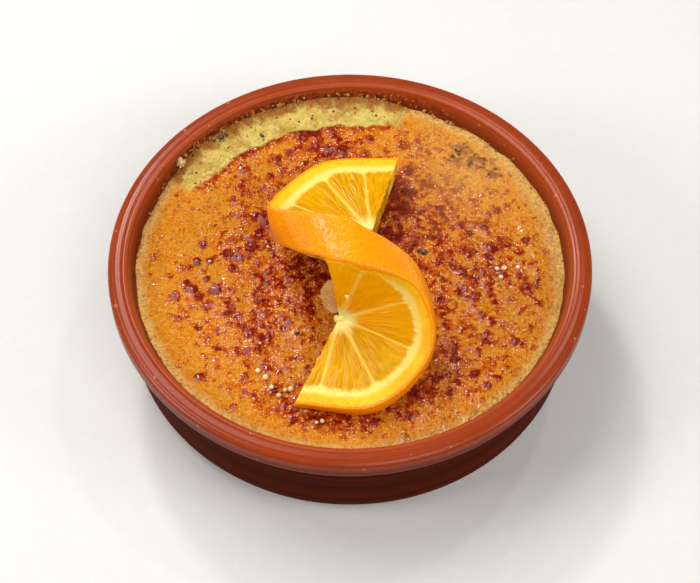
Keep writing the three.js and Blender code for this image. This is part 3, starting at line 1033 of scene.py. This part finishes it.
def make_flesh():
    flesh, out, side, step = swept("citrus_flesh", flesh_loop(), FLESH_STEPS + 2 * CUT_ROWS)
    turn = 360 * np.clip((step - CUT_ROWS) / FLESH_STEPS, 0, 1)
    # the rows beyond each end make the cut faces: there the two sides draw together
    closing = np.clip(np.maximum(CUT_ROWS - step, step - CUT_ROWS - FLESH_STEPS) / CUT_ROWS, 0, 1)
    low, limit = inner_share(turn), flesh_limit(turn, side)
    share = low + (limit + UNDER_RIND - low) * out
    between, degrees = segment_place(turn)
    # how deep a point is below the face that shows, and how far from the core on that face
    thickness = slice_frame(turn)[3]
    deep_mm = thickness * (1 + side * (1 - closing) * np.where(turn < TEAR_AT, 1, -1)) / 2
    reach = np.hypot(share, deep_mm / SLICE_RADIUS)
    grain = turn + 2 * deep_mm * (closing > 0)
    wall_mm = np.radians(degrees) * reach * SLICE_RADIUS
    # juice sacs: long cells that point from the rim to the core
    bend = 0.6 * fractal(turn / 9, share * 4, 1.0, 2, 71.0)
    nearest, second = cells(grain / 4.4 + bend, reach * SLICE_RADIUS / 6.0 + side * 40, 73.0)
    sac = smooth(-0.1, 0.6, second - nearest)
    outline = (limit - 0.025 * hump(wall_mm, 1.6)
               + 0.012 * fractal(turn / 5, share * 3, 1.0, 2, 79.0))
    rise = smooth(-0.025, 0.045, outline - share)
    bulge = np.sin(math.pi * np.clip(between, 0, 1)) ** 0.6
    inner = smooth(0.08, 0.2, share)
    proud = (-SUNK + RISEN * rise + inner * rise * (BULGE * bulge + SAC_RISE * sac - BULGE)
             - MEMBRANE_SINK * hump(wall_mm, 0.4) * inner)
    proud = np.where(np.abs(side) == 1, proud * (1 - closing), 0.0)
    points = slice_points(turn, share, side * (1 - closing), proud)
    # the two cut ends are ragged: they follow the juice sacs that they met
    cut = np.minimum(turn, 360 - turn)
    ragged = 0.5 * fractal(share * 20, side * (1 - closing) * 1.5, 1.0, 3, 83.0)
    ragged = ragged * smooth(3.0, 0.0, cut)
    points[:, 0] += ragged * smooth(0.1, 0.3, share) * (1 - smooth(0.7, 0.8, share))
    move_to(flesh, points)
    width = (0.32 + 1.6 * np.exp(-reach / 0.13)
             + 0.12 * fractal(turn / 4, share * 9, 1.0, 2, 89.0))
    core_line = reach + 0.05 * fractal(turn / 8, share * 6, 1.0, 2, 97.0)
    mark(flesh, vesicle=sac, wall=hump(wall_mm, width), middle=smooth(0.24, 0.07, core_line),
         rim=smooth(0.11, 0.0, outline - share) * (1 - under_arch(turn, side)),
         # painted light: the flesh is coloured brighter where it stands up towards the arch, as
         # for light coming through it
         glow=smooth(60, 130, turn) * smooth(*ARCH_TO, turn) * (side < 0),
         round_deg=grain, out_mm=reach * SLICE_RADIUS)
    close_up(flesh)
    finish_piece(flesh, citrus_pulp(), "citrus_twist", 70.0)


# The scrap of membrane that the tear left: where it hangs on, from and to, as shares of the
# radius and in degrees round the slice, and how far it stands out and curls, in millimetres
SCRAP_FROM, SCRAP_TO = 0.1, 0.66
SCRAP_TURN = 189.0
SCRAP_REACH = 4.6
SCRAP_CURL = 0.9
SCRAP_LAYER = np.array((0, -0.25, 0.2)) * 0.4      # from its middle to either side


def make_scrap():
    """A thin scrap of membrane beside the tear, its free edge curled and ragged."""
    start_piece()
    bpy.ops.mesh.primitive_grid_add(x_subdivisions=16, y_subdivisions=22, size=1)
    scrap = take(bpy.context.object, "torn_membrane")
    bpy.ops.object.modifier_add(type="SOLIDIFY")
    scrap.modifiers[0].thickness = 0.04
    bpy.ops.object.modifier_apply(modifier=scrap.modifiers[0].name)
    away, along, layer = places(scrap).T
    away, along = away + 0.5, np.clip(along + 0.5, 0, 1)
    points = slice_points(SCRAP_TURN, SCRAP_FROM + (SCRAP_TO - SCRAP_FROM) * along, -1.0)
    reach = (SCRAP_REACH * np.sin(math.pi * np.clip(0.12 + 0.8 * along, 0, 1)) ** 0.7
             + 0.5 * fractal(along * 9, along, 1.0, 2, 91.0))
    curl = (SCRAP_CURL * np.sin(2.4 * away)
            + 0.25 * fractal(away * 3, along * 5, 1.0, 2, 93.0) * away)
    points += np.stack([-away * reach, -0.2 * away * reach, -curl + 0.3 * away * reach], axis=1)
    points += SCRAP_LAYER * np.sign(layer)[:, None]
    move_to(scrap, points)
    finish_piece(scrap, plain_finish("membrane", ("#ffd98c", "#f4bc66", "#fff0c4"), 40.0, 0.3,
                                     coat=0.5, alpha=0.3))


def make_core():
    """The white core that the membranes meet in, and one round juice sac beside the tear."""
    core = lump("citrus_core", FRONT_CORE + (0.1, -0.3, -0.35), 1.5, (1.25, 0.8, 1.0), 0.22, 3)
    finish_piece(core, plain_finish("core_pith", ("#ffe470", "#fbd04c", "#fff2b0"), 400.0, 0.5,
                                    inside=0.2))
    at = slice_points(np.array([172.0]), 0.4, -1.0, 0.1)[0]
    sac = lump("round_sac", at, 1.1, (0.75, 0.7, 1.15), 0.05, 5)
    finish_piece(sac, plain_finish("clear_pulp", ("#ffcc64", "#fbb640", "#ffe09c"), 300.0, 0.15,
                                   coat=0.8, inside=0.2))


# ---------------------------------------------------------------- small things on the crust

# Pale bubbles and one crumb, and burnt crumbs: [x, y, size]
BEADS = (
    (-27.6, -38.8, 0.8), (-25.2, -41.2, 0.95), (-23.4, -44.8, 0.8), (-17.6, -45.2, 0.95),
    (-19.3, -45.5, 0.7), (-21.1, -47.6, 0.8), (-8.2, -56.5, 0.7), (45.8, -1.7, 0.75),
    (48.0, -1.3, 0.85), (52.4, -0.6, 0.75), (46.9, -4.8, 0.75), (-9.8, -57.0, 0.55),
)
BAKED_CRUMB = (-54.9, 39.0, 1.5)
BURNT_CRUMBS = (
    (23.5, 4.8, 0.75), (21.9, 5.6, 0.5), (-16.1, -25.6, 0.6), (-18.4, -46.4, 0.35),
    (-20.2, -46.2, 0.3), (-28.9, 52.2, 0.5), (-42.2, 50.2, 0.75), (-40.7, 51.4, 0.5),
    (-44.4, 48.8, 0.45),
)
# Crumbs baked on at the wall, the first half of them along the bank, and the ranges of their
# sizes and of their heights above the crust, there and elsewhere
EDGE_CRUMBS = 120
CRUMB_BEARING = BANK_MIDDLE - 6
CRUMB_SPREAD = 26              # degrees
AT_BANK = ((0.25, 0.65), (0.1, 1.5))
ELSEWHERE = ((0.25, 0.45), (0.0, 0.4))


def crust_top(x, y):
    return float(surface_height(np.array([float(x)]), np.array([float(y)]))[0])


def lump(name, at, size, squeeze, roughness, seed, detail=3):
    """A rounded lump: a ball of facets, squeezed and roughened."""
    start_piece()
    bpy.ops.mesh.primitive_ico_sphere_add(subdivisions=detail, radius=1)
    piece = take(bpy.context.object, name)
    ball = places(piece)
    rough = np.array([noise.fractal(Vector(p) * 1.3 + Vector((seed, 0, 0)), 0.8, 2.0, 3)
                      for p in ball])
    ball = ball * (1 + roughness * rough)[:, None] * np.array(squeeze) * size + np.array(at)
    move_to(piece, ball)
    return piece


def join(pieces, name):
    choose(*pieces)
    bpy.ops.object.join()
    whole = bpy.context.object
    whole.name = whole.data.name = name
    return whole


def make_beads():
    beads = [lump(f"bead_{i}", (x, y, crust_top(x, y) + 0.35 + size * 0.2), size,
                  (1, 1, 0.7), 0.08, i) for i, (x, y, size) in enumerate(BEADS)]
    x, y, size = BAKED_CRUMB
    beads.append(lump("crumb", (x, y, crust_top(x, y) + 0.9), size, (0.7, 0.9, 1.1), 0.9, 4))
    finish_piece(join(beads, "pale_bubbles"),
                 plain_finish("set_custard_bubble", ("#e6c894", "#cf9e5c", "#fae6c2"), 500.0,
                              0.25, coat=0.6, inside=0.2))


def make_edge_crumbs():
    """Crumbs of custard baked on to the wall at the crust's edge, half of them along the bank."""
    draw = random.Random(8)
    crumbs = []
    for i in range(EDGE_CRUMBS):
        at_bank = i < EDGE_CRUMBS // 2
        sizes, heights = AT_BANK if at_bank else ELSEWHERE
        bearing = draw.gauss(CRUMB_BEARING, CRUMB_SPREAD) if at_bank else draw.uniform(-180, 180)
        ahead, aside = math.cos(math.radians(bearing)), math.sin(math.radians(bearing))
        radius = wall_radius(LEVEL) - 0.6
        size = draw.uniform(*sizes)
        height = crust_top(radius * ahead, radius * aside) + draw.uniform(*heights)
        reach = float(wall_radius(height)) - size * 0.45
        crumbs.append(lump(f"edge_{i}", (reach * ahead, reach * aside, height), size,
                           (1.0, 1.0, 0.8), 0.7, 40 + i, 2))
    finish_piece(join(crumbs, "edge_crumbs"),
                 plain_finish("baked_custard", ("#a8742f", "#5e3212", "#cfa557"), 260.0, 0.5))


def make_burnt_crumbs():
    """Burnt crumbs: on the crust, on the bank and on the wall behind it."""
    crumbs = [lump(f"crumb_{i}", (x, y, crust_top(x, y) + size * 0.35), size, (1.2, 0.9, 0.55),
                   0.5, 10 + i) for i, (x, y, size) in enumerate(BURNT_CRUMBS)]
    finish_piece(join(crumbs, "burnt_crumbs"),
                 plain_finish("burnt_sugar", ("#140a06", "#080403", "#2c170c"), 700.0, 0.4,
                              coat=0.3))


# ---------------------------------------------------------------- floor, lights and camera

STUDIO_SIZE = 6                # metres
PALE_PAPER = {"colour": "#dad7d2", "deeper": "#d4d1cc", "lighter": "#dfdcd8"}
LAMPS_AIM_AT = Vector((0, 0, 0.03))
# [name, direction from the dish, distance and size in metres, power in watts]
LAMPS = (
    ("overhead_softbox", (-0.38, 0.3, 0.88), 0.9, (0.58, 0.5), 4.6),
    ("sparkle_left", (-0.28, 0.62, 0.74), 0.9, (0.1, 0.1), 2.1),
    ("sparkle_right", (0.35, 0.42, 0.84), 0.9, (0.05, 0.05), 0.6),
    ("left_softbox", (-0.8, -0.22, 0.52), 0.9, (0.38, 0.3), 3.3),
    ("right_softbox", (0.85, -0.3, 0.5), 0.9, (0.35, 0.35), 2.9),
    ("front_fill", (0.3, -0.62, 0.8), 1.2, (0.6, 0.6), 4.6),
)
AMBIENT = 0.14
CAMERA_AT = (0, -0.3126, 0.4709)
CAMERA_DOWN = 55.36            # degrees below level
LENS_MM = 88.53
SENSOR_MM = 36.0


def make_floor():
    start_piece()
    bpy.ops.mesh.primitive_plane_add(size=STUDIO_SIZE)
    floor = take(bpy.context.object, "studio_floor")
    material, n, place = new_material("pale_paper")
    tint = n.group(mottling, place, patches=3.0, grains=200.0, amount=0.5, **PALE_PAPER)
    n.surface({"Base Color": tint, "Roughness": 0.75})
    floor.data.materials.append(material)


def add_to_scene(name, data):
    thing = bpy.data.objects.new(name, data)
    bpy.context.scene.collection.objects.link(thing)
    return thing


def make_lights():
    for name, direction, distance, size, power in LAMPS:
        light = bpy.data.lights.new(name, "AREA")
        light.shape = "RECTANGLE"
        light.size, light.size_y = size
        light.energy = power
        lamp = add_to_scene(name, light)
        towards = Vector(direction).normalized()
        lamp.location = LAMPS_AIM_AT + towards * distance
        lamp.rotation_euler = towards.to_track_quat("Z", "Y").to_euler()
    world = bpy.data.worlds.new("studio")
    world.use_nodes = True
    sky = world.node_tree.nodes["Background"].inputs
    sky["Color"].default_value = (1, 1, 1, 1)
    sky["Strength"].default_value = AMBIENT
    bpy.context.scene.world = world


def make_camera():
    camera_data = bpy.data.cameras.new("camera")
    camera_data.sensor_width = SENSOR_MM
    camera_data.lens = LENS_MM
    camera_data.clip_start = 0.01
    camera = add_to_scene("camera", camera_data)
    camera.location = CAMERA_AT
    camera.rotation_euler = (math.radians(90 - CAMERA_DOWN), 0, 0)
    bpy.context.scene.camera = camera


make_camera()
make_lights()
make_floor()
make_dish()
make_custard()
make_rind()
make_flesh()
make_scrap()
make_core()
make_beads()
make_edge_crumbs()
make_burnt_crumbs()

bpy.context.scene.view_settings.view_transform = "Standard"
bpy.context.view_layer.update()
